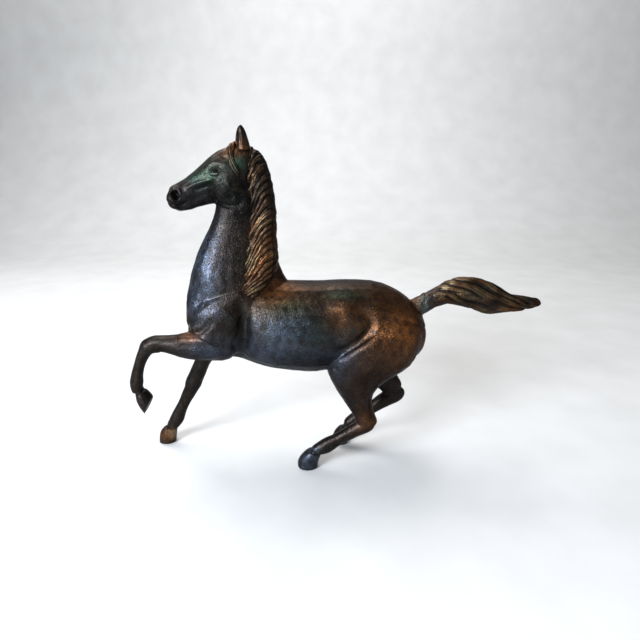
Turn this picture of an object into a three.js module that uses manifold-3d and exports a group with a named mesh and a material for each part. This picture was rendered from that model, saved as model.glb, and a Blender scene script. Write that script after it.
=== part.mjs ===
// A bronze statuette of a horse: rearing neck, left foreleg lifted, tail streaming.
// It is cast in eleven sections. The trunk, neck, legs and tail meet on flat joint faces located by bronze
// dowels; the mane, forelock and ears lie against the skin of the neck and head.
// Millimetres, +Z up. The horse faces -X, its left side faces -Y, and it stands on three hooves at Z = 0.
import * as THREE from "three";
import { mergeVertices } from "three/addons/utils/BufferGeometryUtils.js";
import Module from "manifold-3d";

// Driving dimensions.
const WALL = 5; // bronze left round the casting core
const GAP = 0.3; // clearance between neighbouring pieces, filled by braze on the real joint
const LEFT = -1; // the sign of Y on the horse's left side
const RIGHT = 1;
const AROUND = 24; // facets round the trunk, neck and head
const LIMB_AROUND = 14; // facets round the legs, tail and ears
const CAP_RINGS = 3; // rings that round off the end of a limb
const PLUG_RADIUS = 2.5;
const FINEST = 0.05; // relief lower than this is smoothed away

const wasm = await Module();
wasm.setup();

// One cross-section of a limb: its centre, its half-depth in the XZ plane, its half-width across,
// and how much the width grows (or shrinks) towards the rear or lower side.
const section = (x, z, deep, wide, y = 0, skew = 0) => ({ x, y, z, deep, wide, skew });

// A closed skin through a list of sections. across fixes the direction that "deep" is measured in;
// otherwise sections stand square to the limb's own line. Ends are rounded unless they are flat.
// ripple gives the height of combed hair at a place round and along the limb.
function loft(sections, {
  around = LIMB_AROUND, steps = 2, across, flatEnd = false, grow = 0, ripple = () => 0,
} = {}) {
  const line = new THREE.CatmullRomCurve3(
    sections.map((s) => new THREE.Vector3(s.x, s.y, s.z)), false, "catmullrom", 0.5);
  const shape = new THREE.CatmullRomCurve3(
    sections.map((s) => new THREE.Vector3(s.deep, s.wide, s.skew)), false, "catmullrom", 0.5);
  const spans = sections.length - 1;
  const capShare = 0.7 / spans; // the share of the line that a rounded end takes
  const rings = []; // [place along the line, scale of the section]
  for (let i = 1; i <= CAP_RINGS; i++) {
    const angle = (i / CAP_RINGS) * (Math.PI / 2);
    rings.push([capShare * (1 - Math.cos(angle)), Math.sin(angle)]);
  }
  const last = flatEnd ? 1 : 1 - capShare;
  const middle = Math.ceil(spans * steps * (last - capShare));
  for (let i = 1; i <= middle; i++) rings.push([capShare + ((last - capShare) * i) / middle, 1]);
  if (!flatEnd) {
    for (let i = CAP_RINGS - 1; i >= 1; i--) {
      const angle = (i / CAP_RINGS) * (Math.PI / 2);
      rings.push([1 - capShare * (1 - Math.cos(angle)), Math.sin(angle)]);
    }
  }
  const points = [line.getPoint(0)];
  for (const [t, scale] of rings) {
    const centre = line.getPoint(t);
    const [deep, wide, skew] = shape.getPoint(t).toArray();
    const along = line.getTangent(t);
    const side = new THREE.Vector3(0, 1, 0);
    const depth = across
      ? new THREE.Vector3(across[0], 0, across[1]).normalize()
      : new THREE.Vector3().crossVectors(along, side).normalize();
    if (!across) side.crossVectors(depth, along).normalize();
    for (let k = 0; k < around; k++) {
      const angle = (k / around) * 2 * Math.PI;
      const sin = Math.sin(angle);
      const extra = grow + ripple(angle, t);
      points.push(centre.clone()
        .addScaledVector(depth, sin * (deep + extra) * scale)
        .addScaledVector(side, Math.cos(angle) * (wide + extra) * (1 + skew * sin) * scale));
    }
  }
  points.push(line.getPoint(1));
  const faces = [];
  const ring = (i, k) => 1 + i * around + (k % around);
  for (let k = 0; k < around; k++) faces.push(0, ring(0, k + 1), ring(0, k));
  for (let i = 0; i < rings.length - 1; i++) {
    for (let k = 0; k < around; k++) {
      faces.push(ring(i, k), ring(i, k + 1), ring(i + 1, k + 1));
      faces.push(ring(i, k), ring(i + 1, k + 1), ring(i + 1, k));
    }
  }
  const end = rings.length - 1;
  for (let k = 0; k < around; k++) faces.push(points.length - 1, ring(end, k), ring(end, k + 1));
  const skin = new THREE.BufferGeometry().setFromPoints(points);
  skin.setIndex(faces);
  return solid(skin);
}

// A three.js geometry as a manifold-3d solid, facing out.
function solid(geometry, matrix = new THREE.Matrix4()) {
  const bare = new THREE.BufferGeometry();
  bare.setAttribute("position", geometry.getAttribute("position"));
  if (geometry.index) bare.setIndex(geometry.index);
  const merged = mergeVertices(bare.applyMatrix4(matrix), 1e-4);
  const triangles = new Uint32Array(merged.index.array);
  const make = () => new wasm.Manifold(new wasm.Mesh({
    numProp: 3, vertProperties: merged.attributes.position.array, triVerts: triangles }));
  const made = make();
  if (made.volume() > 0) return made;
  triangles.reverse();
  return make();
}

// The largest body of a solid, without the slivers and needless facets that cuts can leave.
const largest = (whole) =>
  whole.asOriginal().simplify(FINEST).decompose().sort((a, b) => b.volume() - a.volume())[0];

const union = (...solids) => solids.reduce((sum, next) => sum.add(next));

// An ellipsoid.
function egg(x, y, z, rx, ry, rz) {
  const matrix = new THREE.Matrix4().makeScale(rx, ry, rz).setPosition(x, y, z);
  return solid(new THREE.SphereGeometry(1, 14, 9), matrix);
}

// A joint face: a point on it, and its normal, which points away from the body.
const face = (x, y, z, nx, ny, nz) => ({
  point: new THREE.Vector3(x, y, z), normal: new THREE.Vector3(nx, ny, nz).normalize() });

// Everything on one side of a joint face, as a large block that stops half a gap short of it.
function block(joint, side) {
  const size = 400;
  const turn = new THREE.Quaternion().setFromUnitVectors(new THREE.Vector3(0, 0, 1), joint.normal);
  const centre = joint.point.clone().addScaledVector(joint.normal, side * (size / 2 - GAP / 2));
  const matrix = new THREE.Matrix4().compose(centre, turn, new THREE.Vector3(1, 1, 1));
  return solid(new THREE.BoxGeometry(size, size, size), matrix);
}

// Cuts a limb at a joint face: the root that stays on the body, and the limb beyond it.
const divide = (limb, joint) => ({
  root: limb.subtract(block(joint, 1)), limb: limb.subtract(block(joint, -1)) });

// A dowel across a joint face, or with grow the hole it sits in.
function dowel(joint, radius, length, grow = 0) {
  const upright = new THREE.Vector3(0, 1, 0);
  const turn = new THREE.Quaternion().setFromUnitVectors(upright, joint.normal);
  const matrix = new THREE.Matrix4().compose(joint.point, turn, new THREE.Vector3(1, 1, 1));
  return solid(new THREE.CylinderGeometry(radius + grow, radius + grow, length + 2 * grow, 16), matrix);
}

// ---- The trunk ----
const TRUNK = [
  section(-106, 119, 9, 9), section(-101, 118, 20, 16), section(-92, 117, 27, 20),
  section(-80, 116, 29, 21), section(-66, 114.6, 30, 22), section(-50, 112.4, 32.6, 25.5),
  section(-30, 110.1, 34, 28, 0, -0.04), section(-10, 109.6, 34.5, 28, 0, -0.04),
  section(10, 111.6, 33, 25.5), section(30, 113, 31, 23.5), section(46, 110, 28, 22),
  section(57, 107, 23.5, 18.5), section(64, 105.5, 17.5, 13.5), section(67.8, 105, 10, 8),
];
const NECK = [
  section(-59, 222, 11, 7, 0, -0.2), section(-60, 211, 16, 9.5, 0, -0.25),
  section(-60.5, 200, 18.8, 10.6, 0, -0.28), section(-61.5, 190, 20, 11.2, 0, -0.28),
  section(-63.5, 180, 22.8, 12.2, 0, -0.26), section(-66, 170, 25.9, 13.8, 0, -0.25),
  section(-67.3, 160, 29, 15.8, 0, -0.24), section(-67.5, 150, 32.9, 18, 0, -0.22),
  section(-66.5, 140, 36.5, 19.5, 0, -0.2), section(-68.5, 130, 36.5, 20.5, 0, -0.1),
  section(-73, 118, 32, 21), section(-76, 106, 26, 19),
];
const HEAD = [
  section(-51, 221, 11, 8, 0, -0.1), section(-59, 221, 15.8, 10.2, 0, -0.15),
  section(-69, 216.7, 17.6, 10.8, 0, -0.2), section(-78, 213, 15.6, 10, 0, -0.22),
  section(-86.5, 209.4, 12.6, 8.2, 0, -0.18), section(-95, 205.6, 10.4, 6.9, 0, -0.05),
  section(-102, 202.8, 9.6, 7.1), section(-107, 201.4, 8.9, 7.1), section(-111, 200.4, 6.9, 5.8),
];
const trunkLine = { around: AROUND, across: [0, 1] };
const neckLine = { around: AROUND, across: [1, 0] };
const coreLine = { around: 14, steps: 1, grow: -WALL };
const headLine = { around: AROUND };

const cheek = (hand) => egg(-68.5, hand * 5.6, 210, 13.2, 6, 13);

const eye = (hand) => egg(-76.8, hand * 9, 220, 2.9, 1.9, 2.1);
const nostril = (hand) => egg(-106, hand * 7.6, 204.2, 2.9, 2.4, 3.2);
const lip = (hand) => egg(-106.8, hand * 3.4, 200.9, 5.9, 4.9, 7);

// The shoulder blade and upper arm, a flat mass that lies on the front of the trunk.
const shoulder = (hand) => loft([
  section(-52, 138, 6, 5, hand * 13), section(-64, 130, 14, 8, hand * 15.5),
  section(-77, 119, 18, 9, hand * 16.5), section(-89, 108, 15, 8.5, hand * 16.5),
  section(-99, 101, 8, 6, hand * 15.5),
], { steps: 2 });

// ---- Legs ----
// The left foreleg is lifted: forearm level, cannon hanging, hoof folded back.
const leftForeleg = union(
  loft([
    section(-69, 106, 13, 6, -12), section(-79, 102.5, 14, 9, -15.5), section(-90, 100.8, 12.4, 9.6, -17),
    section(-99, 100.6, 10.9, 9, -17.5), section(-108, 100.5, 8.8, 7.6, -17.5),
    section(-118, 101.5, 6.5, 6, -17.5), section(-125.5, 101.6, 6.4, 5.7, -17.5),
    section(-130.8, 99.2, 5.9, 5.7, -17.5), section(-134.2, 94.8, 4.9, 5, -17.5),
    section(-137, 89.6, 4.2, 4.3, -17.5), section(-139.9, 82.8, 4, 4, -17),
    section(-141.8, 76.5, 4.4, 4.2, -16.5), section(-142.8, 71, 5, 4.7, -16.5),
    section(-143.2, 66.5, 4.2, 4.3, -16.5), section(-141.8, 61.5, 4.2, 4.3, -16.5),
  ]),
  loft([
    section(-143.2, 66.6, 3.2, 3.4, -16.5), section(-141, 61.6, 6.2, 6, -16.5),
    section(-138.2, 57.2, 7.2, 7, -16.5), section(-135.6, 52.7, 7.5, 7, -16.5),
  ], { across: [0.447, 0.894], flatEnd: true }),
);
const rightForeleg = union(
  loft([
    section(-84, 110, 12, 6, 12), section(-90, 98, 12, 9, 15), section(-96.5, 85.5, 8.8, 8, 17),
    section(-101.5, 75.5, 6.2, 6.4, 18), section(-106.2, 65.5, 6.3, 6, 18),
    section(-109.8, 57.8, 6.6, 6, 18), section(-113, 50.5, 5.8, 5.2, 18), section(-117, 43, 5, 4.4, 18),
    section(-121, 35.5, 4.6, 4.2, 18), section(-124, 29.5, 5.2, 4.6, 18),
    section(-126.8, 23.5, 5.8, 5, 18), section(-130, 18.3, 5.1, 4.7, 18.6),
    section(-134, 13.5, 5, 4.8, 19.6),
  ]),
  loft([
    section(-131, 17.5, 4.2, 4, 19), section(-134.3, 13, 6.4, 5.8, 20),
    section(-136.4, 8, 7.2, 6.4, 20.8), section(-137.8, 0, 7.4, 6.8, 21.4),
  ], { across: [1, 0], flatEnd: true }),
);
const leftHindLeg = union(
  loft([
    section(47, 124, 12, 8, -9), section(43.5, 112.5, 19.4, 12, -12), section(36, 100.5, 25.2, 13.6, -13.5),
    section(29, 89, 29, 13.8, -14.5), section(22.3, 80, 25.8, 12, -15),
    section(18.6, 72.5, 19.6, 10.2, -15.5),
    section(18, 64.5, 14.2, 8.6, -16), section(19.7, 56.5, 10.8, 7.2, -16.5), section(23.5, 48, 9, 6.2, -17),
    section(26.3, 41.5, 8.6, 5.8, -17.5), section(27.5, 36, 6.5, 5, -17.5),
  ], { across: [0.995, -0.1], around: 20 }),
  loft([
    section(33, 40.5, 4.4, 4.6, -17.5), section(26.5, 37.3, 6.4, 5.4, -17.5), section(19, 33, 5.7, 5, -17.5),
    section(11.5, 28.4, 5.2, 4.6, -17.5), section(5, 24.6, 5.1, 4.5, -17.5),
    section(-0.5, 21, 5.9, 5, -17.5), section(-4.5, 18.6, 5.9, 5.2, -17.5),
    section(-9, 16.2, 5.1, 4.8, -17.5), section(-14, 12.5, 5.4, 5, -17.5),
  ]),
  loft([
    section(-10, 17.5, 4.5, 4.2, -17), section(-13.2, 13.5, 6.5, 6.2, -16.6),
    section(-16.2, 8, 7.8, 7, -16.2), section(-17.4, 4, 8, 7.1, -16), section(-17.6, 0, 7.6, 7, -16),
  ], { across: [1, 0], flatEnd: true }),
);
const rightHindLeg = union(
  loft([
    section(47, 124, 12, 8, 9), section(43.5, 112.5, 19.4, 12, 12), section(38.5, 100.5, 24, 13.6, 13.5),
    section(35, 89, 27, 13.4, 14.5), section(31, 79, 22, 11, 15), section(30, 70, 14, 8, 15.5),
  ], { across: [0.995, -0.1], around: 20 }),
  loft([
    section(28, 84, 16, 8, 14), section(33.5, 74.5, 14.5, 9, 15.5), section(39.5, 66, 12, 8, 16.5),
    section(45, 58.8, 10, 6.8, 17), section(50, 52.5, 8.8, 6, 17.5), section(54, 47, 7.4, 5.2, 17.5),
  ]),
  loft([
    section(60.5, 49.5, 4.4, 4.6, 17.5), section(54, 45.8, 7, 5.4, 17.5), section(47, 42, 6.8, 5.2, 17.5),
    section(40, 37.4, 5.8, 4.8, 17.5), section(33, 32.2, 5.1, 4.5, 17.5), section(27, 27.6, 5.1, 4.6, 17.5),
    section(22.5, 24.2, 5.8, 5, 17.5), section(17.8, 20.6, 5.3, 4.9, 17.5), section(13, 16, 5, 4.8, 17.5),
  ]),
  loft([
    section(16, 18.5, 4.4, 4.2, 17.8), section(12, 13.6, 6.3, 6, 18.5),
    section(9.9, 7.5, 7.2, 6.6, 19.5), section(8.4, 0, 7.3, 6.9, 20.2),
  ], { across: [1, 0], flatEnd: true }),
);

// ---- Tail, ears and hair ----
const tailLocks = (angle, t) => 0.8 * Math.min(1, Math.max(0, 4 * t - 1)) * Math.cos(6 * (angle - 4 * t));
const tail = loft([
  section(56, 121, 7, 6.5), section(65, 125.5, 6.8, 6.2), section(73, 129.3, 6.6, 5.8),
  section(80, 132.9, 7.4, 6.4), section(89, 135.6, 9.6, 7.6), section(99, 135.4, 11.3, 8.8),
  section(109, 132.8, 11.8, 9), section(119, 129.2, 10, 8), section(129, 127.1, 7.2, 6.2),
  section(139, 127, 5.1, 4.6), section(148, 127.5, 3.6, 3.2), section(154, 126.6, 1.8, 1.8),
], { around: 24, ripple: tailLocks });
// The ears stand a little apart, the right one slightly further forward.
const ear = (hand, grow = 0) => loft([
  section(-59 - hand / 2, 229.5, 4.5, 3, hand * 4.8), section(-59.6 - hand / 2, 235, 4.6, 3.3, hand * 5.2),
  section(-60.2 - hand / 2, 240, 4, 2.9, hand * 5.6), section(-60.3 - hand / 2, 244.8, 2.7, 2, hand * 5.9),
  section(-60 - hand / 2, 248.3, 1.1, 0.9, hand * 6.2),
], { around: 12, grow });
const maneLocks = (angle, t) =>
  (0.6 - 0.35 * Math.sin(angle)) * Math.cos(2 * Math.PI * (13 * t + 0.8 * Math.sin(angle)));
const maneBase = loft([
  section(-55.5, 235.5, 2.5, 2.5, -1), section(-52.5, 229.5, 6.3, 5, -2.6), section(-50.6, 222, 8, 6.2, -4),
  section(-49, 213, 8.8, 6.8, -5.2), section(-47.6, 203, 9, 7, -6), section(-47, 190, 9.4, 7, -6.5),
  section(-48.3, 176, 10.6, 7.6, -7.2), section(-49.2, 163, 12.4, 8.6, -8.6),
  section(-50.5, 152, 11.8, 8.4, -11),
  section(-53.5, 143, 8.8, 6.5, -14.2), section(-57, 134.5, 3.6, 3.5, -17.6),
], { across: [1, 0], around: 16, steps: 6, ripple: maneLocks });
const forelockBase = loft([
  section(-61.5, 236.4, 2.2, 3.4, -0.6), section(-65.2, 234.8, 3.4, 3.6, -2.8),
  section(-67, 230.4, 3.9, 3, -6.3), section(-65.8, 225.2, 3.7, 2.4, -8.8),
  section(-63.4, 220.2, 2.7, 1.9, -10.2), section(-61.4, 216, 1.3, 1.2, -10.7),
], { around: 12 });

// ---- Joint faces ----
const neckJoint = face(-70, 0, 139, -0.29, 0, 0.957);
const tailJoint = face(72.5, 0, 129.2, 0.88, 0, 0.47);
const leftForeJoint = face(-110, -17.5, 101, -0.99, 0, 0.1);
const rightForeJoint = face(-97.5, 17.2, 83.5, -0.45, 0, -0.89);
const leftHindJoint = face(19, -16.3, 60.5, 0.17, 0, -0.98);
const rightHindJoint = face(40, 16.6, 65.3, 0.63, 0, -0.78);

// ---- The uncut skin, and the same skin grown by the gap, which its neighbours are cut with ----
const skin = (grow) => union(
  loft(TRUNK, { ...trunkLine, grow }), loft(NECK, { ...neckLine, grow }), loft(HEAD, { ...headLine, grow }));
const onBothSides = (make) => union(make(LEFT), make(RIGHT));
const masses = union(...[shoulder, cheek, eye, lip].map(onBothSides));
const trunkAndNeck = skin(0).add(masses).subtract(onBothSides(nostril));
const clearance = skin(GAP).add(masses);

// The casting core: the trunk and neck, one wall thickness smaller, open only through the neck joint.
const core = union(
  loft(TRUNK.slice(1, -1), { ...trunkLine, ...coreLine }),
  loft(NECK.slice(2), { ...neckLine, ...coreLine }));

// ---- Dowels and plugs ----
const neckDowelPlace = (x, z) => ({ ...neckJoint, point: new THREE.Vector3(x, 0, z) });
const DOWELS = {
  neck_dowel_front: [neckDowelPlace(-101, 129.6), 1.2, 12],
  neck_dowel_rear: [neckDowelPlace(-36.5, 149.2), 1.2, 12],
  tail_dowel: [tailJoint, 2, 18],
  left_foreleg_dowel: [leftForeJoint, 2.5, 20],
  right_foreleg_dowel: [rightForeJoint, 2.5, 20],
  left_hind_leg_dowel: [leftHindJoint, 2.5, 20],
  right_hind_leg_dowel: [rightHindJoint, 2.5, 20],
};
const holes = union(
  ...Object.values(DOWELS).map(([joint, radius, length]) => dowel(joint, radius, length, GAP)));

const legs = {
  left_foreleg_casting: divide(leftForeleg, leftForeJoint),
  right_foreleg_casting: divide(rightForeleg, rightForeJoint),
  left_hind_leg_casting: divide(leftHindLeg, leftHindJoint),
  right_hind_leg_casting: divide(rightHindLeg, rightHindJoint),
  tail_casting: divide(tail, tailJoint),
};
const halves = divide(trunkAndNeck, neckJoint);
const roots = Object.values(legs).map((leg) => leg.root);

// Core-pin plugs: the core was held by iron pins, and their holes are stopped with short bronze plugs.
const PLUGS = {
  belly_plug_front: face(-52, 0, 85, 0, 0, -1),
  belly_plug_rear: face(-14, 0, 81, 0, 0, -1),
  right_side_plug_front: face(-40, 24.5, 116, 0, 1, 0),
  right_side_plug_rear: face(2, 24, 117, 0, 1, 0),
};
const PLUG_LENGTH = 12;
const body = union(halves.root, ...roots);
const plugs = Object.entries(PLUGS).map(([name, place]) => [
  name, largest(dowel(place, PLUG_RADIUS, PLUG_LENGTH).intersect(body).subtract(core)) ]);
const plugHoles = union(...Object.values(PLUGS).map((place) => dowel(place, PLUG_RADIUS, PLUG_LENGTH, GAP)));

const pieces = {
  body_casting: largest(body.subtract(core).subtract(holes).subtract(plugHoles)),
  neck_and_head_casting: largest(halves.limb.subtract(core).subtract(holes)),
  left_ear: largest(ear(LEFT).subtract(clearance)),
  right_ear: largest(ear(RIGHT).subtract(clearance)),
  mane_casting: largest(maneBase.subtract(clearance).subtract(ear(LEFT, GAP)).subtract(ear(RIGHT, GAP))),
};
pieces.forelock_casting = largest(forelockBase.subtract(clearance)
  .subtract(ear(LEFT, GAP)).subtract(ear(RIGHT, GAP)).subtract(maneBase));
for (const [name, leg] of Object.entries(legs)) pieces[name] = largest(leg.limb.subtract(holes));
for (const [name, [joint, radius, length]] of Object.entries(DOWELS)) {
  pieces[name] = dowel(joint, radius, length);
}
for (const [name, plug] of plugs) pieces[name] = plug;

// ---- The scene graph ----
const patina = new THREE.MeshStandardMaterial({ color: 0x2e2723, roughness: 0.42, metalness: 0.85 });
const brightBronze = new THREE.MeshStandardMaterial({ color: 0xa8763e, roughness: 0.4, metalness: 0.95 });
const statue = new THREE.Group();
for (const [name, piece] of Object.entries(pieces)) {
  const { vertProperties, triVerts, numProp } = piece.getMesh();
  const geometry = new THREE.BufferGeometry();
  geometry.setAttribute("position", new THREE.InterleavedBufferAttribute(
    new THREE.InterleavedBuffer(vertProperties, numProp), 3, 0));
  geometry.setIndex(new THREE.BufferAttribute(triVerts, 1));
  const mesh = new THREE.Mesh(geometry, name.includes("dowel") ? brightBronze : patina);
  mesh.name = name;
  statue.add(mesh);
}
// The origin is under the middle of the statue's box, on the surface it stands on.
const box = new THREE.Box3().setFromObject(statue);
const centre = box.getCenter(new THREE.Vector3());
statue.position.set(-centre.x, -centre.y, -box.min.z);
export default statue;
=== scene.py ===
"""A bronze horse statuette on a pale floor: sculpted skins over the castings, with a worn brown patination
and some painted sheen and shade in its colour.

Landmarks are in millimetres in the modelling frame: the horse faces -X, its left side faces -Y.
"""
import math

import bmesh
import bpy
import numpy as np
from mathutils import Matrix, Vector
from mathutils.kdtree import KDTree


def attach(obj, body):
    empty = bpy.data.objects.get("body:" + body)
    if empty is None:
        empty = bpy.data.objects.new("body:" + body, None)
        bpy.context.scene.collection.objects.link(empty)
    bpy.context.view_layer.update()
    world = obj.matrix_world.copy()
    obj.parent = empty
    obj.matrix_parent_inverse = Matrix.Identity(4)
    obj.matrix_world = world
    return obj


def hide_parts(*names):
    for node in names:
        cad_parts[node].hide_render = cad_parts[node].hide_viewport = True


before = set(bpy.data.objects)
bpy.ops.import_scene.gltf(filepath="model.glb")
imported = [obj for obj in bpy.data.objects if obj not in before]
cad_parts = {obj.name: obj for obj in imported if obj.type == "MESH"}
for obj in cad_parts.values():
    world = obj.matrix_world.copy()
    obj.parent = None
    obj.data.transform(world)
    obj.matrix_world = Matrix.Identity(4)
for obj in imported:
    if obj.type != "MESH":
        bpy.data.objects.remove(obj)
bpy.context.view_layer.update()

MM = 0.001
# The middle of the statue's box, in the frame that the landmarks are measured in.
ORIGIN = np.array([3.163, 0.0, 0.0])
VOXEL = 0.55  # the fineness of the castings' skin
HAIR_VOXEL = 0.42
SMOOTHING = {"horse": 26, "mane": 12, "forelock": 4, "ear": 3}  # rounds that rub out the voxel steps
WIDE = 2.2  # a stroke wider than this is a fold of muscle, too open to hold dark patina
NO_SLIVERS = 0.12  # a joint cut passes through any point of the skin that is this near to it
BRIDGE = 0.4  # swells neighbouring castings enough to close the joints between them
LEFT = -1
RIGHT = 1
BOTH = 0

CASTINGS = [
    "body_casting", "neck_and_head_casting", "left_foreleg_casting", "right_foreleg_casting",
    "left_hind_leg_casting", "right_hind_leg_casting", "tail_casting",
]
PLUGS = ["belly_plug_front", "belly_plug_rear", "right_side_plug_front", "right_side_plug_rear"]


# ---- Meshes as arrays ----

def points_of(obj):
    """An object's vertices, in millimetres in the modelling frame."""
    flat = np.empty(len(obj.data.vertices) * 3)
    obj.data.vertices.foreach_get("co", flat)
    return flat.reshape(-1, 3) / MM + ORIGIN


def normals_of(obj):
    flat = np.empty(len(obj.data.vertices) * 3)
    obj.data.vertex_normals.foreach_get("vector", flat)
    return flat.reshape(-1, 3)


def move_points(obj, points):
    obj.data.vertices.foreach_set("co", ((points - ORIGIN) * MM).ravel())
    obj.data.update()


def middle_of(points):
    return (points.min(0) + points.max(0)) / 2


def joined_copy(name, nodes):
    """One new object that holds copies of several CAD nodes' meshes."""
    whole = bmesh.new()
    for node in nodes:
        whole.from_mesh(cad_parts[node].data)
    bmesh.ops.remove_doubles(whole, verts=whole.verts, dist=1e-7)
    bmesh.ops.recalc_face_normals(whole, faces=whole.faces)
    mesh = bpy.data.meshes.new(name)
    whole.to_mesh(mesh)
    whole.free()
    obj = bpy.data.objects.new(name, mesh)
    bpy.context.scene.collection.objects.link(obj)
    return obj


def apply_modifiers(obj):
    graph = bpy.context.evaluated_depsgraph_get()
    mesh = bpy.data.meshes.new_from_object(obj.evaluated_get(graph))
    obj.modifiers.clear()
    obj.data = mesh


def keep_outer_shell(obj):
    """Drops the casting cavity and the dowel holes, which are closed shells of their own."""
    mesh = bmesh.new()
    mesh.from_mesh(obj.data)
    unseen = set(mesh.verts)
    shells = []
    while unseen:
        shell = {unseen.pop()}
        edge = list(shell)
        while edge:
            near = {e.other_vert(v) for v in edge for e in v.link_edges} & unseen
            unseen -= near
            shell |= near
            edge = list(near)
        shells.append(shell)
    outer = max(shells, key=lambda s: max(v.co.z for v in s) - min(v.co.z for v in s) + 1e-9 * len(s))
    for shell in shells:
        if shell is not outer:
            bmesh.ops.delete(mesh, geom=list(shell), context="VERTS")
    mesh.to_mesh(obj.data)
    mesh.free()


def skin(name, nodes, voxel, smoothing):
    """A fine, even mesh over some CAD nodes, with the joints between them closed."""
    obj = joined_copy(name, nodes)
    swell = obj.modifiers.new("swell", "DISPLACE")
    swell.strength = BRIDGE * MM
    swell.mid_level = 0
    remesh = obj.modifiers.new("remesh", "REMESH")
    remesh.mode = "VOXEL"
    remesh.voxel_size = voxel * MM
    apply_modifiers(obj)
    keep_outer_shell(obj)
    smooth = obj.modifiers.new("smooth", "SMOOTH")
    smooth.factor = 0.5
    smooth.iterations = smoothing
    shrink = obj.modifiers.new("shrink", "DISPLACE")
    shrink.strength = -BRIDGE * MM
    shrink.mid_level = 0
    apply_modifiers(obj)
    obj.data.shade_smooth()
    return obj


# ---- Sculpting ----

def line_distance(points, line):
    """How far each point is from a line on the horse's side, and how far along that line (0 to 1)."""
    places = points[:, [0, 2]]
    line = np.array(line, float)
    lengths = np.linalg.norm(np.diff(line, axis=0), axis=1)
    starts = np.concatenate([[0], np.cumsum(lengths)])
    best = np.full(len(points), 1e9)
    along = np.zeros(len(points))
    for a, b, length, start in zip(line[:-1], line[1:], lengths, starts):
        t = np.clip((places - a) @ (b - a) / length ** 2, 0, 1)
        distance = np.linalg.norm(places - a - t[:, None] * (b - a), axis=1)
        nearer = distance < best
        best[nearer] = distance[nearer]
        along[nearer] = (start + t[nearer] * length) / starts[-1]
    return best, along


def smooth_line(line, steps=6):
    """The same line with its corners rounded off."""
    line = np.array(line, float)
    padded = np.vstack([2 * line[0] - line[1], line, 2 * line[-1] - line[-2]])
    out = []
    for p0, p1, p2, p3 in zip(padded, padded[1:], padded[2:], padded[3:]):
        for t in np.arange(steps) / steps:
            out.append(0.5 * (2 * p1 + (p2 - p0) * t + (2 * p0 - 5 * p1 + 4 * p2 - p3) * t ** 2
                              + (3 * p1 - p0 - 3 * p2 + p3) * t ** 3))
    return np.array(out + [line[-1]])


def facing(points, normals, side):
    """How squarely each point faces the left or right; 0 on the other side of the horse."""
    if side == BOTH:
        return np.clip(np.abs(normals[:, 1]) * 2, 0, 1)
    return np.clip(normals[:, 1] * side * 2, 0, 1) * (points[:, 1] * side > -3)


def stroke(points, normals, line, height, width, side=BOTH):
    """The relief of one tool stroke along a line: a ridge, or a groove where height is negative."""
    line = smooth_line(line)
    distance, along = line_distance(points, line)
    taper = np.sqrt(np.clip(4 * along * (1 - along), 0, 1)) * 0.75 + 0.25
    return height * taper * np.exp(-(distance / width) ** 2) * facing(points, normals, side)


def mound(points, normals, x, z, half_x, half_z, height, side=BOTH, turn=0.0):
    """The relief of a muscle: a soft mound, or a hollow where height is negative."""
    dx = points[:, 0] - x
    dz = points[:, 2] - z
    c, s = math.cos(math.radians(turn)), math.sin(math.radians(turn))
    u = (dx * c + dz * s) / half_x
    v = (dz * c - dx * s) / half_z
    return height * np.exp(-(u * u + v * v)) * facing(points, normals, side)


def ring(points, x, y, z, normal, height, width, reach):
    """A ridge or groove that runs right round a leg, square to normal."""
    normal = np.array(normal, float) / np.linalg.norm(normal)
    off = points - np.array([x, y, z])
    height_off = off @ normal
    radius = np.linalg.norm(off - height_off[:, None] * normal, axis=1)
    return height * np.exp(-(height_off / width) ** 2) * (radius < reach)


def lumps(points, size, seed, octaves=3):
    """A gentle unevenness with no direction, from -1 to 1, that repeats nowhere on the horse."""
    rng = np.random.default_rng(seed)
    total = np.zeros(len(points))
    for octave in range(octaves):
        for _ in range(5):
            wave = rng.normal(size=3)
            wave *= 2 * math.pi * 2 ** octave / size / np.linalg.norm(wave)
            total += np.sin(points @ wave + rng.uniform(0, 6.28)) / 2 ** octave
    return total / 5


MUSCLES = [
    # x, z, half_x, half_z, height, side, turn
    (-88, 118, 12, 14, 1.5, BOTH, 40),  # shoulder blade
    (-76, 103, 9, 12, 1.8, BOTH, 30),  # upper arm
    (-96, 101, 9, 7, 0.9, LEFT, 0),  # forearm of the lifted leg
    (-44, 100, 16, 18, 2.0, BOTH, 0),  # ribs
    (27, 98, 17, 19, 1.6, BOTH, -30),  # thigh
    (50, 104, 13, 20, 1.4, BOTH, 20),  # buttock
    (10, 128, 10, 8, 2.2, BOTH, -30),  # point of the hip
    (21, 60, 6, 13, 0.8, LEFT, 8),  # gaskin
    (44, 63, 8, 12, 0.8, RIGHT, -40),
    (4, 116, 9, 7, -1.8, BOTH, -50),  # hollow of the flank
    (-4, 108, 11, 14, -2.3, BOTH, 30),
    (-68, 133, 8, 6, -0.9, BOTH, 0),
    (-92, 160, 9, 30, 0.8, BOTH, 16),  # swell of the throat
    (-71, 228, 5, 2.4, -1.4, BOTH, -20),  # hollow over the eye
    (-67.5, 210, 9, 9, 1.0, BOTH, 0),  # cheek
    (-90, 203, 9, 3.5, -1.2, BOTH, 25),  # hollow side of the nose
    (-107, 203.5, 5.5, 5, 0.8, BOTH, 0),  # flare of the nostril
    (-98, 194.8, 4, 1.8, 0.7, BOTH, 0),  # chin
    (-76.8, 219.8, 4.4, 3.6, -0.8, BOTH, 0),  # eye socket
    (-76.8, 219.5, 2.2, 1.3, 1.0, BOTH, -8),  # eyeball
]
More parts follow.
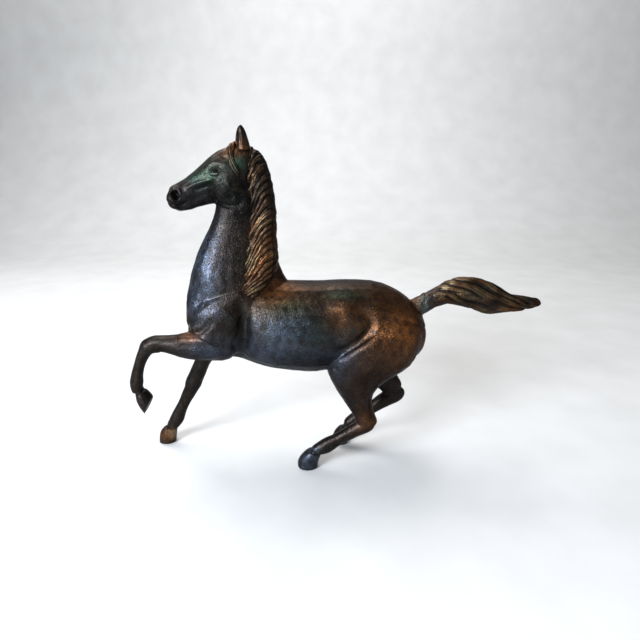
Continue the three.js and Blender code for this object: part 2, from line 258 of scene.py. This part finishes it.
STROKES = [
    # line, height, width, side
    ([(-62, 134), (-61, 120), (-62, 106), (-65, 95), (-69, 88)], -3.6, 4.4, BOTH),  # behind the shoulder
    ([(-108, 126), (-101, 121.5), (-93, 119), (-84, 120)], -1.2, 4.4, BOTH),  # across the chest
    ([(-108, 131), (-99, 132), (-88, 131)], 0.8, 6.0, BOTH),
    ([(-107, 113), (-99, 111), (-91, 113), (-84, 119)], -1.9, 2.6, BOTH),  # over the forearm
    ([(-108, 106.5), (-98, 108), (-89, 106), (-79, 99)], 1.3, 2.8, LEFT),
    ([(-98, 90), (-87, 89.5), (-76, 93)], -1.0, 2.6, LEFT),
    ([(-74, 190), (-79, 175), (-85, 155), (-90, 138)], 0.8, 7.0, BOTH),  # windpipe
    ([(18, 128), (25, 123), (27, 116), (22, 108), (13, 101.5), (3, 95)],
     -3.1, 3.6, BOTH),  # fold of the flank
    ([(32, 112), (27, 106), (18, 101), (8, 94), (2, 86)], 1.9, 6.0, BOTH),  # thigh's edge
    ([(1, 84), (6, 73), (12, 62), (17, 50)], 1.2, 3.0, BOTH),
    ([(37, 98), (34, 84), (30, 70), (28, 58)], -0.9, 3.6, BOTH),
    ([(27, 60), (28.5, 52), (30, 44)], -1.1, 1.6, LEFT),  # in front of the hock tendon
    ([(50, 62), (54, 56), (57, 50)], -1.1, 1.6, RIGHT),
    ([(24, 36), (14, 29), (4, 23)], 0.5, 1.6, LEFT),  # tendons of the cannons
    ([(20, 33), (11, 27.5), (3, 22)], -0.6, 1.0, LEFT),
    ([(-112, 56), (-117, 44), (-123, 32)], -0.5, 1.2, RIGHT),
    ([(-138, 90), (-142, 80), (-144, 70)], -0.5, 1.2, LEFT),
    ([(-60, 200), (-64, 197.6), (-71, 197.4), (-78, 200.5), (-82, 207)], -1.2, 1.9, BOTH),  # jaw's edge
    ([(-79, 214), (-86, 212.6), (-93, 210.5), (-98, 208)], 0.9, 1.4, BOTH),  # cheek bone
    ([(-80, 210.5), (-87, 208.8), (-94, 206.6)], -1.0, 1.5, BOTH),
    ([(-112.6, 199.2), (-108, 197.8), (-103, 197.4), (-98, 199.4)], -0.8, 0.9, BOTH),  # mouth
    ([(-80.8, 218.4), (-79.2, 220.6), (-76.6, 221.5), (-74.2, 220.6), (-73, 218.9)],
     0.75, 0.75, BOTH),  # upper lid
    ([(-79.4, 219.2), (-78, 220.2), (-75.6, 220.2), (-74.3, 219.2)], -0.7, 0.5, BOTH),
    ([(-80.2, 217.8), (-77, 217.1), (-74.2, 217.9)], 0.4, 0.7, BOTH),  # lower lid
    ([(-83, 221.5), (-79, 224.4), (-73.5, 224)], 0.35, 1.5, BOTH),  # brow
    ([(-109.4, 206), (-106.6, 208.6), (-103, 207.4), (-102, 203.4)], 0.6, 1.1, BOTH),  # rim of the nostril
    ([(-108.2, 204.6), (-106.2, 205.4), (-104.6, 203.4), (-105.2, 200.6)], -2.1, 1.5, BOTH),  # nostril
]
LEG_RINGS = [
    # x, y, z, normal, height, width, reach
    (-141.8, -16.5, 64, (0.45, 0, -0.9), -0.7, 0.9, 9),  # coronet of the lifted hoof
    (-134.5, 19, 15, (-0.3, 0, -1), -0.8, 0.9, 10),
    (-12.5, -17, 14.6, (-0.5, 0, -1), -0.8, 0.9, 10),
    (13.2, 18, 15, (-0.4, 0, -1), -0.8, 0.9, 10),
    (-130.5, -17.5, 100, (-0.5, 0, -0.8), 0.5, 3, 9),  # knee of the lifted leg
    (-111, 18, 54.5, (-0.4, 0, -0.9), 0.4, 4, 9),  # standing knee
]


def sculpted(obj):
    """Works the muscles, folds and face into the skin, and returns how deep each point was cut."""
    points = points_of(obj)
    normals = normals_of(obj)
    relief = np.zeros(len(points))
    for x, z, half_x, half_z, height, side, turn in MUSCLES:
        relief += mound(points, normals, x, z, half_x, half_z, height, side, turn)
    cuts = np.zeros(len(points))
    for line, height, width, side in STROKES:
        if width > WIDE:
            relief += stroke(points, normals, line, height, width, side)
        else:
            cuts += stroke(points, normals, line, height, width, side)
    for x, y, z, normal, height, width, reach in LEG_RINGS:
        cuts += ring(points, x, y, z, normal, height, width, reach)
    # A rough band round the dock, where the tail is let in.
    dock = np.exp(-((points[:, 0] - 68) / 4.5) ** 2) * (points[:, 2] > 112)
    cuts += dock * (0.5 + 0.45 * lumps(points, 5, seed=4))
    relief += 0.22 * lumps(points, 26, seed=1) + 0.07 * lumps(points, 5, seed=2)
    # The buttocks come out level with the end of the trunk between them.
    rump = np.clip((points[:, 0] - 42) / 18, 0, 1) * np.clip(np.abs(points[:, 1]) / 7, 0, 1)
    points[:, 0] += 2.4 * rump * np.exp(-((points[:, 2] - 103) / 14) ** 2)
    sole = points[:, 2] < 0.6
    relief[sole] = 0
    cuts[sole] = 0
    move_points(obj, points + normals * (relief + cuts)[:, None])
    return np.clip(-cuts, 0, 2.5)


# ---- Hair ----

def strands(phase, sharp=0.7):
    """The profile of combed hair: round ridges between narrow grooves, 0 in a groove and 1 on a ridge."""
    return np.abs(np.sin(math.pi * phase)) ** sharp


def comb(obj, locks, fine, lock_height, fine_height):
    """Cuts locks and finer strands into a skin, and returns how deep and how raised each point is."""
    points = points_of(obj)
    normals = normals_of(obj)
    relief = lock_height * (strands(locks) - 0.8) + fine_height * (strands(fine) - 0.8)
    move_points(obj, points + normals * relief[:, None])
    depth = np.clip(1.5 * (1 - strands(locks)) + 0.7 * (1 - strands(fine)) - 0.35, 0, 1.6)
    return depth, (strands(locks) * (0.35 + 0.65 * strands(fine))) ** 1.5


def comb_tail(obj):
    """Tail locks run lengthwise, with a little twist, and fade into the smooth dock."""
    points = points_of(obj)
    fade = np.clip((points[:, 0] - 72) / 14, 0, 1)
    hair = points[fade > 0]
    stations = np.arange(hair[:, 0].min(), hair[:, 0].max() + 3, 3.0)
    heights = [middle_of(hair[np.abs(hair[:, 0] - x) < 3])[2] for x in stations]
    above = points[:, 2] - np.interp(points[:, 0], stations, heights)
    turn = np.arctan2(above, points[:, 1]) / (2 * math.pi)
    turn -= (points[:, 0] - 75) / 150
    wave = 0.5 * np.sin(points[:, 0] / 9) + 0.22 * np.sin(points[:, 0] / 4.1 + 9 * turn)
    depth, ridges = comb(obj, 8 * turn + wave, 27 * turn + 1.6 * wave, 1.3 * fade, 0.5 * fade)
    return depth * fade, ridges * fade


def rear_edge(points, step=3.0):
    """The rearmost X of a piece at each point's height."""
    heights = np.arange(points[:, 2].min(), points[:, 2].max() + step, step)
    edge = [points[np.abs(points[:, 2] - z) < step][:, 0].max() for z in heights]
    return np.interp(points[:, 2], heights, edge)


# ---- Patina ----

def zone(points, x, z, half_x, half_z, side=BOTH):
    """How strongly a patch of colour shows at each point, from 0 to 1, with a soft edge."""
    u = (points[:, 0] - x) / half_x
    v = (points[:, 2] - z) / half_z
    ragged = 1 + 0.45 * lumps(points, 17, seed=9)
    speckle = np.clip(0.8 + 0.75 * lumps(points, 6, seed=12, octaves=4), 0.15, 1.3)
    strength = np.clip(np.exp(-(u * u + v * v) * ragged) * speckle, 0, 1)
    return strength if side == BOTH else strength * (points[:, 1] * side > -6)


BROWN_BLACK = (0.017, 0.014, 0.012)
RUST = (0.14, 0.054, 0.018)
UMBER = (0.048, 0.023, 0.011)
VERDIGRIS = (0.030, 0.072, 0.044)
# Painted sheen: a blue-violet tint that stands in for the bluish highlights on the neck, chest, barrel and
# hoof.
PAINTED_BLUE_SHEEN = (0.046, 0.057, 0.080)
OLIVE_GOLD = (0.20, 0.14, 0.07)
TEAL = (0.055, 0.080, 0.078)
TAN = (0.24, 0.16, 0.09)
BLACK = (0.004, 0.004, 0.004)
PATCHES = [
    # x, z, half_x, half_z, colour, strength, side
    (48, 114, 22, 20, RUST, 1.0, BOTH),
    (38, 132, 24, 9, UMBER, 0.8, BOTH),
    (40, 84, 18, 16, UMBER, 0.8, BOTH),
    (6, 124, 9, 11, RUST, 0.5, BOTH),
    (-30, 134, 26, 8, UMBER, 0.7, BOTH),
    (-32, 131, 12, 5, VERDIGRIS, 0.45, BOTH),
    (8, 137, 12, 3, VERDIGRIS, 0.35, BOTH),
    (-38, 138, 12, 7, RUST, 0.75, BOTH),
    (-46, 165, 9, 16, RUST, 0.5, BOTH),
    (-20, 112, 26, 12, VERDIGRIS, 0.22, BOTH),
    (22, 84, 12, 12, UMBER, 0.7, BOTH),
    # Painted sheen: blue-violet laid on the neck, chest, barrel, forearm, thigh's edge and near hind hoof,
    # where bluish highlights fall.
    (-92, 165, 11, 30, PAINTED_BLUE_SHEEN, 0.95, BOTH),
    (-94, 136, 12, 14, PAINTED_BLUE_SHEEN, 0.7, BOTH),
    (-45, 95, 19, 13, PAINTED_BLUE_SHEEN, 0.85, BOTH),
    (-22, 92, 30, 12, PAINTED_BLUE_SHEEN, 0.5, BOTH),
    (-30, 112, 18, 11, PAINTED_BLUE_SHEEN, 0.7, BOTH),
    (-84, 98, 15, 9, PAINTED_BLUE_SHEEN, 0.7, BOTH),
    (6, 90, 9, 13, PAINTED_BLUE_SHEEN, 0.5, BOTH),
    (-16, 8, 10, 10, PAINTED_BLUE_SHEEN, 0.8, LEFT),
    (-100, 110, 8, 4, RUST, 0.45, LEFT),
    (-84, 216, 10, 7, VERDIGRIS, 0.45, BOTH),
    (-66, 202, 9, 6, VERDIGRIS, 0.15, BOTH),
    (-62, 224, 5, 6, VERDIGRIS, 0.5, BOTH),
    (-64, 234, 8, 5, RUST, 0.7, BOTH),
    (-136, 8, 9, 7, RUST, 0.5, RIGHT),
    (-130.5, 11, 3, 5, TAN, 0.9, RIGHT),
    (28, 44, 10, 12, RUST, 0.45, LEFT),
    (68, 124, 5, 9, TEAL, 0.9, BOTH),
    (-68, 208, 19, 13, BLACK, 0.97, BOTH),
    (-92, 200, 16, 6, BLACK, 0.85, BOTH),
    (-62, 194, 12, 9, BLACK, 0.8, BOTH),
    (-77, 219.4, 2.8, 1.5, BLACK, 0.9, BOTH),
    # Painted shade: black laid under the belly.
    (-14, 86, 34, 9, BLACK, 0.55, BOTH),
    (28, 74, 16, 24, BLACK, 0.6, BOTH),
    # Painted shade: black laid in the hollow of the flank and in the groove behind the shoulder.
    (2, 100, 10, 14, BLACK, 0.55, BOTH),
    (-64, 110, 4, 18, BLACK, 0.7, BOTH),
]


def paint(obj, depth, ridges=None):
    """Lays the patination on a skin: patches by place, some of them painted sheen and some painted shade;
    wear on the ridges; black in the cuts; painted shade underneath.
    """
    points = points_of(obj)
    colour = np.tile(np.array(BROWN_BLACK), (len(points), 1))
    for x, z, half_x, half_z, tint, strength, side in PATCHES:
        share = (strength * zone(points, x, z, half_x, half_z, side))[:, None]
        colour = colour * (1 - share) + np.array(tint) * share
    if ridges is not None:
        share = (ridges * (0.5 + 0.55 * lumps(points, 20, seed=6, octaves=4)))[:, None].clip(0, 1)
        rusty = np.clip(0.5 + 1.2 * lumps(points, 15, seed=21), 0, 1)[:, None]
        metal = np.array(OLIVE_GOLD) * (1 - rusty) + np.array(RUST) * rusty
        colour = colour * (1 - share) + metal * share
    # Painted shade: skin that faces down is darkened towards black, by up to 0.7, as if in the body's own
    # shadow.
    shaded = np.clip(-normals_of(obj)[:, 2], 0, 1) * 0.7
    # Each point takes the black patination of its cut or the painted shade underneath, whichever is darker.
    dark = np.maximum(np.clip(depth / 1.6, 0, 0.92), shaded)[:, None]
    colour = colour * (1 - dark) + np.array(BLACK) * dark
    # The colour layer holds the patination together with the painted sheen and painted shade.
    attribute = obj.data.color_attributes.new("patina", "FLOAT_COLOR", "POINT")
    rgba = np.ones((len(points), 4))
    rgba[:, :3] = colour
    attribute.data.foreach_set("color", rgba.ravel())


class Nodes:
    """A material's node tree, with shorthand for adding and joining nodes."""

    def __init__(self, name):
        self.material = bpy.data.materials.new(name)
        self.material.use_nodes = True
        self.tree = self.material.node_tree
        self.shader = self.tree.nodes["Principled BSDF"]

    def add(self, kind, settings=(), **inputs):
        node = self.tree.nodes.new(kind)
        for key, value in settings:
            setattr(node, key, value)
        for key, value in inputs.items():
            self.set(node, key.replace("_", " "), value)
        return node

    def set(self, node, key, value):
        socket = node.inputs[key]
        if isinstance(value, bpy.types.NodeSocket):
            self.tree.links.new(value, socket)
        else:
            socket.default_value = value

    def noise(self, place, size, detail=4.0):
        """Noise whose features are about size millimetres across."""
        node = self.add("ShaderNodeTexNoise", Vector=place, Scale=1 / (size * MM), Detail=detail)
        return node.outputs["Fac"]

    def mapped(self, value, from_min, from_max, to_min, to_max):
        node = self.add("ShaderNodeMapRange")
        limits = {"From Min": from_min, "From Max": from_max, "To Min": to_min, "To Max": to_max}
        for key, number in limits.items():
            node.inputs[key].default_value = number
        self.set(node, "Value", value)
        return node.outputs["Result"]

    def grey(self, tone):
        return self.add("ShaderNodeCombineColor", Red=tone, Green=tone, Blue=tone).outputs[0]

    def mix(self, share, a, b, blend="MIX"):
        node = self.add("ShaderNodeMix", settings=(("data_type", "RGBA"), ("blend_type", blend)))
        for index, value in ((0, share), (6, a), (7, b)):
            if isinstance(value, bpy.types.NodeSocket):
                self.tree.links.new(value, node.inputs[index])
            else:
                node.inputs[index].default_value = value
        return node.outputs[2]


def bronze(name, painted=True, pits=0.5, gloss=0.3):
    """Bronze: mottled colour over the painted patches, pitted grain, satin gloss with dull spots."""
    nodes = Nodes(name)
    place = nodes.add("ShaderNodeTexCoord").outputs["Object"]
    if painted:
        # The colour layer read here carries the patination, painted sheen and painted shade.
        base = nodes.add("ShaderNodeVertexColor", settings=(("layer_name", "patina"),)).outputs["Color"]
    else:
        base = nodes.add("ShaderNodeRGB").outputs["Color"]
        base.default_value = (0.42, 0.24, 0.09, 1)
    cloud = nodes.mapped(nodes.noise(place, 9), 0.3, 0.7, 0.7, 1.3)
    grain = nodes.mapped(nodes.noise(place, 1.3, 6), 0.3, 0.7, 0.65, 1.4)
    shade = nodes.add("ShaderNodeMath", settings=(("operation", "MULTIPLY"),))
    nodes.tree.links.new(cloud, shade.inputs[0])
    nodes.tree.links.new(grain, shade.inputs[1])
    mottled = nodes.mix(1.0, base, nodes.grey(shade.outputs[0]), "MULTIPLY")
    dust_mask = nodes.mapped(nodes.noise(place, 3.2, 8), 0.62, 0.74, 0.0, 0.3)
    dusty = nodes.mix(dust_mask, mottled, (0.085, 0.042, 0.018, 1))
    green_mask = nodes.mapped(nodes.noise(place, 5.5, 7), 0.66, 0.74, 0.0, 0.4)
    nodes.set(nodes.shader, "Base Color", nodes.mix(green_mask, dusty, (0.022, 0.055, 0.034, 1)))
    nodes.shader.inputs["Metallic"].default_value = 0.82
    nodes.shader.inputs["Specular IOR Level"].default_value = 0.15
    nodes.shader.inputs["Specular Tint"].default_value = (0.6, 0.6, 0.62, 1)
    rough = nodes.mapped(nodes.noise(place, 2.4, 6), 0.3, 0.75, gloss - 0.02, gloss + 0.12)
    nodes.set(nodes.shader, "Roughness", rough)
    fine = nodes.noise(place, 0.8, 6)
    pit = nodes.add("ShaderNodeTexVoronoi", Vector=place, Scale=1 / (1.3 * MM)).outputs["Distance"]
    pitted = nodes.mapped(pit, 0.0, 0.35, 0.0, 1.0)
    height = nodes.add("ShaderNodeMath", settings=(("operation", "ADD"),))
    nodes.tree.links.new(fine, height.inputs[0])
    nodes.tree.links.new(pitted, height.inputs[1])
    bump = nodes.add("ShaderNodeBump", Height=height.outputs[0], Strength=pits, Distance=0.4 * MM)
    nodes.set(nodes.shader, "Normal", bump.outputs["Normal"])
    return nodes.material


# ---- Joints ----

def joint_face(dowel):
    """A dowel's middle and axis: the joint it locates is square to it there."""
    corners = points_of(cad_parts[dowel])
    middle = (corners.min(0) + corners.max(0)) / 2
    axis = np.linalg.eigh(np.cov((corners - corners.mean(0)).T))[1][:, 2]
    return middle, axis


def keep_shading(parts, places, normals):
    """Gives the skin beside each cut the normals it had when whole, so that no joint catches the light."""
    tree = KDTree(len(places))
    for index, place in enumerate(places):
        tree.insert(place, index)
    tree.balance()
    for part in parts:
        mesh = part.data
        rim = {v for face in mesh.polygons if not face.use_smooth for v in face.vertices}
        beside = {v for face in mesh.polygons if not rim.isdisjoint(face.vertices) for v in face.vertices}
        kept = np.zeros((len(mesh.vertices), 3))
        for v in beside:
            near = tree.find_n(mesh.vertices[v].co, 4)
            blend = sum(normals[index] / (distance + 1e-6) for _, index, distance in near)
            kept[v] = blend / np.linalg.norm(blend)
        mesh.normals_split_custom_set_from_vertices(kept)


def cut_apart(obj, joints):
    """Cuts a skin at the joint faces and caps the cuts, which makes each casting a closed piece."""
    places = [v.co.copy() for v in obj.data.vertices]
    normals = normals_of(obj)
    mesh = bmesh.new()
    mesh.from_mesh(obj.data)
    for middle, axis, reach in joints:
        centre = Vector((middle - ORIGIN) * MM)
        near = [f for f in mesh.faces if (f.calc_center_median() - centre).length < reach * MM]
        geometry = set(near) | {e for f in near for e in f.edges} | {v for f in near for v in f.verts}
        cut = bmesh.ops.bisect_plane(
            mesh, geom=list(geometry), dist=NO_SLIVERS * MM, plane_co=centre, plane_no=Vector(axis))
        edges = [e for e in cut["geom_cut"] if isinstance(e, bmesh.types.BMEdge)]
        bmesh.ops.split_edges(mesh, edges=edges)
    rims = [e for e in mesh.edges if e.is_boundary]
    for edge in rims:
        edge.smooth = False
    caps = bmesh.ops.holes_fill(mesh, edges=rims, sides=0)["faces"]
    for cap in caps:
        cap.smooth = False
    mesh.to_mesh(obj.data)
    mesh.free()
    bpy.ops.object.select_all(action="DESELECT")
    bpy.context.view_layer.objects.active = obj
    obj.select_set(True)
    bpy.ops.object.mode_set(mode="EDIT")
    bpy.ops.mesh.select_all(action="SELECT")
    bpy.ops.mesh.separate(type="LOOSE")
    bpy.ops.object.mode_set(mode="OBJECT")
    parts = list(bpy.context.selected_objects)
    bpy.ops.object.select_all(action="DESELECT")
    keep_shading(parts, places, normals)
    return parts


def finish_piece(piece, node, material):
    piece.name = node.replace("_casting", "") + "_skin"
    piece.data.materials.clear()
    piece.data.materials.append(material)
    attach(piece, "root")
    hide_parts(node)


# Its colour layer carries painted sheen and painted shade as well as the patination.
patina = bronze("patinated_bronze")
hair_patina_and_painted_light = bronze("hair_bronze", pits=0.35, gloss=0.34)
bare = bronze("bare_bronze", painted=False, gloss=0.3)

horse = skin("horse", CASTINGS + PLUGS, VOXEL, SMOOTHING["horse"])
depth = sculpted(horse)
tail_depth, tail_ridges = comb_tail(horse)
paint(horse, depth + tail_depth, tail_ridges)

REACH = {  # how far from its middle a joint's cut goes; the castings beyond are left whole
    "tail_dowel": 16, "left_foreleg_dowel": 14, "right_foreleg_dowel": 14,
    "left_hind_leg_dowel": 22, "right_hind_leg_dowel": 24,
}
NECK_REACH = 60
joints = [(*joint_face(node), reach) for node, reach in REACH.items()]
front = joint_face("neck_dowel_front")
rear = joint_face("neck_dowel_rear")
joints.append(((front[0] + rear[0]) / 2, front[1], NECK_REACH))
parts = cut_apart(horse, joints)
for node in CASTINGS:
    target = middle_of(points_of(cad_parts[node]))
    nearest = min(parts, key=lambda part: np.linalg.norm(middle_of(points_of(part)) - target))
    parts.remove(nearest)
    finish_piece(nearest, node, patina)


# ---- Hair and ears ----

# Mane locks leave the crest nearly level and curl down at their tips.
mane = skin("mane", ["mane_casting"], HAIR_VOXEL, SMOOTHING["mane"])
at = points_of(mane)
reach = np.clip(rear_edge(at) - at[:, 0], 0, 30)
fall = at[:, 2] + 0.25 * reach + 0.05 * reach ** 2
wave = 1.5 * np.sin(at[:, 2] / 9.5) + 1.1 * np.sin(at[:, 2] / 4.3 + 0.35 * reach) + 0.3 * at[:, 1]
wave += 1.2 * lumps(at, 16, seed=31)
grown = np.clip((reach - 0.5) / 3.5, 0.15, 1)  # the crest itself is left nearly smooth
depth, ridges = comb(mane, (fall + wave) / 5.3, (fall + 0.5 * wave) / 1.85, 1.35 * grown, 0.6 * grown)
seam = np.exp(-((reach - 3) / 0.6) ** 2)
paint(mane, np.maximum(depth * grown, 1.2 * seam), ridges * grown * (0.4 + 0.6 * (at[:, 2] < 190)))
finish_piece(mane, "mane_casting", hair_patina_and_painted_light)

forelock = skin("forelock", ["forelock_casting"], HAIR_VOXEL, SMOOTHING["forelock"])
at = points_of(forelock)
lie = at[:, 0] + 0.32 * (at[:, 2] - 228) - 0.02 * (at[:, 2] - 228) ** 2
depth, ridges = comb(forelock, lie / 2.4, lie / 1.1, 0.7, 0.2)
paint(forelock, depth, 0.4 * ridges)
finish_piece(forelock, "forelock_casting", hair_patina_and_painted_light)

for node in ("left_ear", "right_ear"):
    ear = skin(node + "_form", [node], HAIR_VOXEL, SMOOTHING["ear"])
    at = points_of(ear)
    normals = normals_of(ear)
    middle = middle_of(at)
    outward = np.array([-0.75, 0.66 * math.copysign(1, middle[1]), 0])
    open_side = np.clip(normals @ outward - 0.55, 0, 1) * np.exp(-((at[:, 2] - 239.5) / 5) ** 2)
    flare = np.exp(-((at[:, 2] - at[:, 2].min() - 1.5) / 2.2) ** 2)
    move_points(ear, at + normals * (0.4 * flare - 3.6 * open_side)[:, None])
    paint(ear, 4 * open_side)
    finish_piece(ear, node, patina)


# ---- Core plugs ----

def plug_piece(node):
    """A dressed-off core plug: a low domed disc that stands just proud of the skin."""
    corners = points_of(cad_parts[node])
    middle = middle_of(corners)
    spread = corners.max(0) - corners.min(0)
    sideways = spread[1] < spread[0] * 1.05 and middle[2] > 100
    rise = 0.35 if sideways else 0.8
    mesh = bmesh.new()
    profile = [(2.0, 0.85), (2.45, 0.45), (2.6, 0.0), (2.6, -3.0)]  # radius, height as a share of the rise
    count = 24
    rows = []
    for radius, height in profile:
        rows.append([
            mesh.verts.new((radius * math.cos(2 * math.pi * k / count),
                            radius * math.sin(2 * math.pi * k / count), rise * height))
            for k in range(count)
        ])
    top = mesh.verts.new((0, 0, rise))
    for k in range(count):
        mesh.faces.new((top, rows[0][k], rows[0][(k + 1) % count]))
        for upper, lower in zip(rows, rows[1:]):
            mesh.faces.new((upper[k], lower[k], lower[(k + 1) % count], upper[(k + 1) % count]))
    mesh.faces.new(list(reversed(rows[-1])))
    bmesh.ops.recalc_face_normals(mesh, faces=mesh.faces)
    data = bpy.data.meshes.new(node + "_form")
    mesh.to_mesh(data)
    mesh.free()
    piece = bpy.data.objects.new(node + "_form", data)
    bpy.context.scene.collection.objects.link(piece)
    local = np.array([v.co for v in data.vertices])
    if sideways:
        placed = np.stack([local[:, 0], local[:, 2], -local[:, 1]], 1)
        seat = np.array([middle[0], corners[:, 1].max(), middle[2]])
    else:
        placed = np.stack([local[:, 0], -local[:, 1], -local[:, 2]], 1)
        seat = np.array([middle[0], middle[1], corners[:, 2].min()])
    move_points(piece, placed + seat)
    data.shade_smooth()
    return piece


for node in PLUGS:
    plug = plug_piece(node)
    paint(plug, np.zeros(len(plug.data.vertices)))
    finish_piece(plug, node, patina)

for node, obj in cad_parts.items():
    if "_dowel" in node:
        obj.data.materials.clear()
        obj.data.materials.append(bare)


# ---- Floor, light and camera ----

def sweep_backdrop():
    """A pale floor that curves up behind the statue."""
    profile = [(-1.6, 0.0), (0.9, 0.0)]
    for k in range(1, 13):
        angle = math.pi / 2 * k / 12
        profile.append((0.9 + 0.6 * math.sin(angle), 0.6 - 0.6 * math.cos(angle)))
    profile.append((1.5, 2.4))
    mesh = bmesh.new()
    rows = [[mesh.verts.new((x, y, z)) for x in (-2.5, 2.5)] for y, z in profile]
    for a, b in zip(rows, rows[1:]):
        mesh.faces.new((a[0], a[1], b[1], b[0]))
    data = bpy.data.meshes.new("floor")
    mesh.to_mesh(data)
    mesh.free()
    data.shade_smooth()
    floor = bpy.data.objects.new("floor", data)
    bpy.context.scene.collection.objects.link(floor)
    pale = Nodes("pale_floor")
    place = pale.add("ShaderNodeTexCoord").outputs["Object"]
    tone = pale.mapped(pale.noise(place, 60, 3), 0.3, 0.7, 0.5, 0.55)
    pale.set(pale.shader, "Base Color", pale.grey(tone))
    pale.shader.inputs["Roughness"].default_value = 0.7
    data.materials.append(pale.material)


def softbox(name, place, aim, size, power, colour=(1, 1, 1)):
    light = bpy.data.lights.new(name, "AREA")
    light.size = size
    light.energy = power
    light.color = colour
    obj = bpy.data.objects.new(name, light)
    obj.location = place
    obj.rotation_euler = (Vector(aim) - Vector(place)).to_track_quat("-Z", "Y").to_euler()
    bpy.context.scene.collection.objects.link(obj)


sweep_backdrop()
softbox("sky", (-0.45, 0.35, 1.2), (0, 0, 0.1), 0.9, 16)
softbox("window", (-0.7, -0.8, 0.52), (-0.02, 0, 0.13), 0.44, 30, (0.84, 0.91, 1.0))
softbox("wall_wash", (0, 0.75, 1.5), (0, 1.6, 0.55), 0.8, 14, (1.0, 0.99, 0.96))
softbox("right_fill", (0.9, -0.5, 0.35), (0, 0, 0.1), 0.5, 0.9, (1.0, 0.9, 0.78))

world = bpy.data.worlds.new("studio")
world.use_nodes = True
world.node_tree.nodes["Background"].inputs["Color"].default_value = (1.0, 0.99, 0.97, 1)
world.node_tree.nodes["Background"].inputs["Strength"].default_value = 0.24
bpy.context.scene.world = world
bpy.context.scene.view_settings.view_transform = "Standard"

camera_data = bpy.data.cameras.new("camera")
camera_data.lens = 27
camera_data.sensor_width = 36
camera = bpy.data.objects.new("camera", camera_data)
camera.location = Vector((np.array([-8.17, -340, 218]) - ORIGIN) * MM)
camera.rotation_euler = (math.radians(73), 0, 0)
camera_data.clip_start = 0.01
bpy.context.scene.collection.objects.link(camera)
bpy.context.scene.camera = camera
